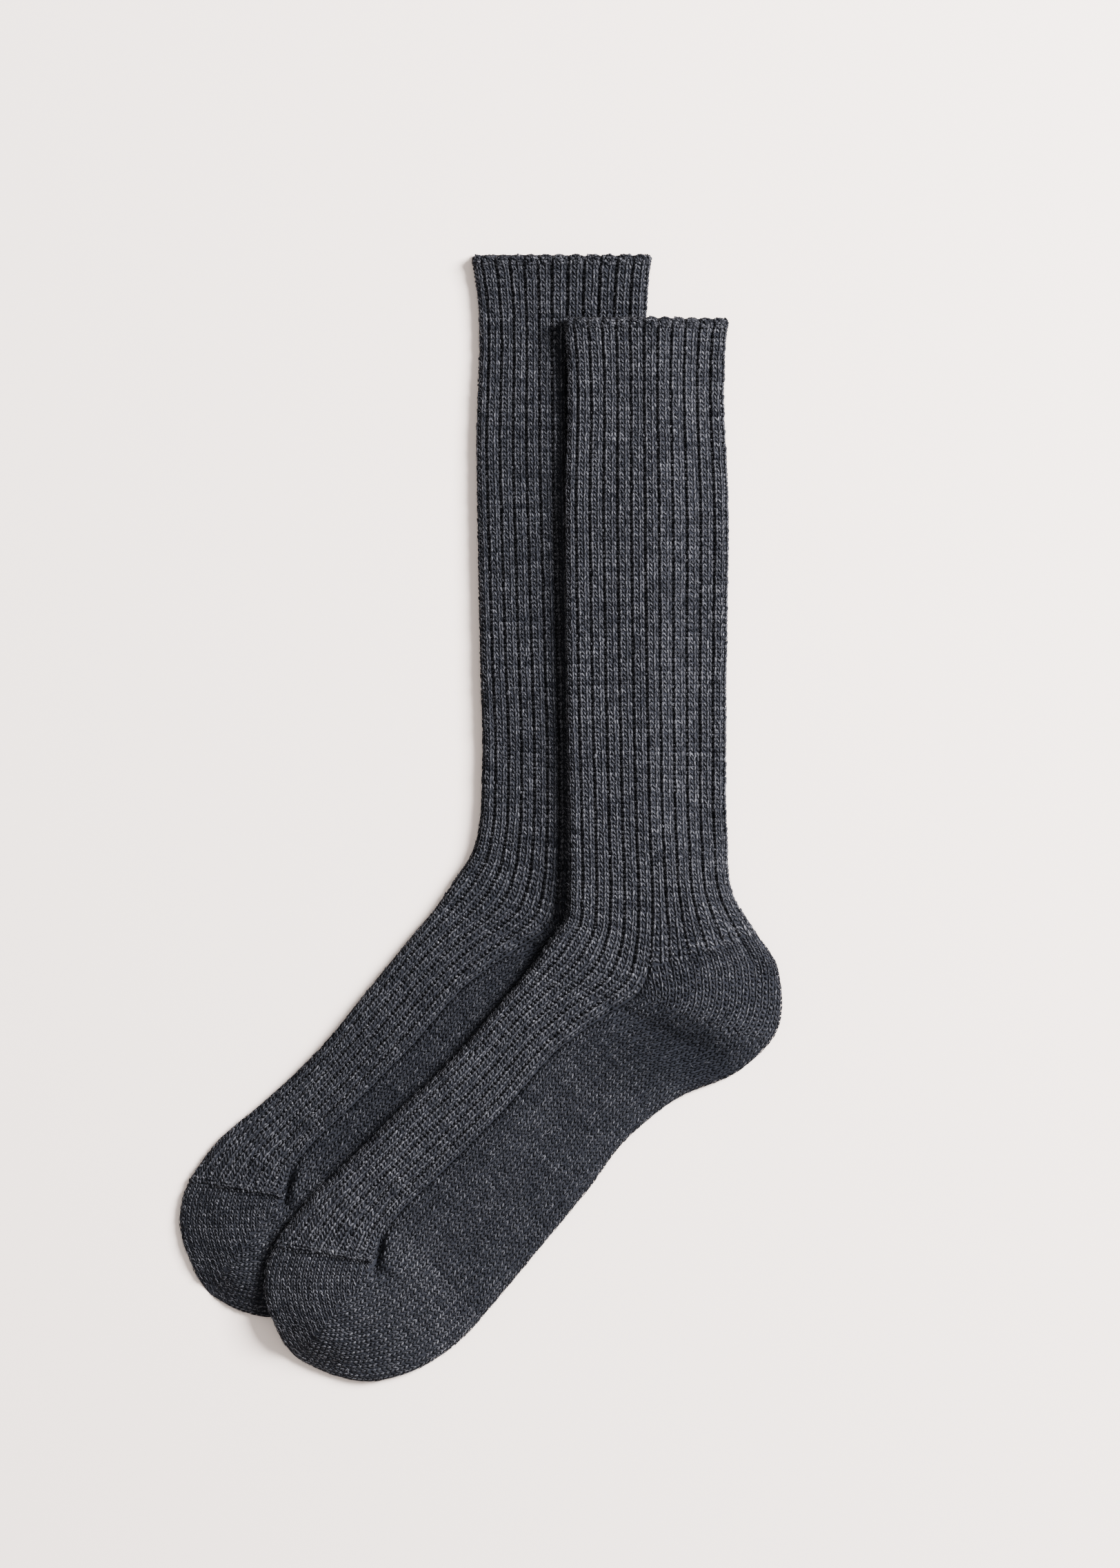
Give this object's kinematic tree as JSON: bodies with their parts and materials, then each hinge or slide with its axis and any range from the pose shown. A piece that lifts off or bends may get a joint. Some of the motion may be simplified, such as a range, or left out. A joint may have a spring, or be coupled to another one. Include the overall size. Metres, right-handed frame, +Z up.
{
  "type": "pair of ribbed crew socks",
  "caption": "Pair of thick wool crew socks laid flat, one half over the other, with a ribbed leg and instep, a plain heel pocket, sole and toe pocket.",
  "frame": {"origin": "middle of the laid pair's bounding box, at the surface it lies on", "axes": "+Y from the toes towards the cuffs along the legs, +X towards the heels, +Z up from the surface"},
  "size_m": [0.2444, 0.4573, 0.0159],
  "materials": {
    "wool": "charcoal melange wool knit, matt, with a fine nap"
  },
  "bodies": {
    "root": {"sock_under": "wool", "sock_over": "wool"}
  },
  "joints": []
}
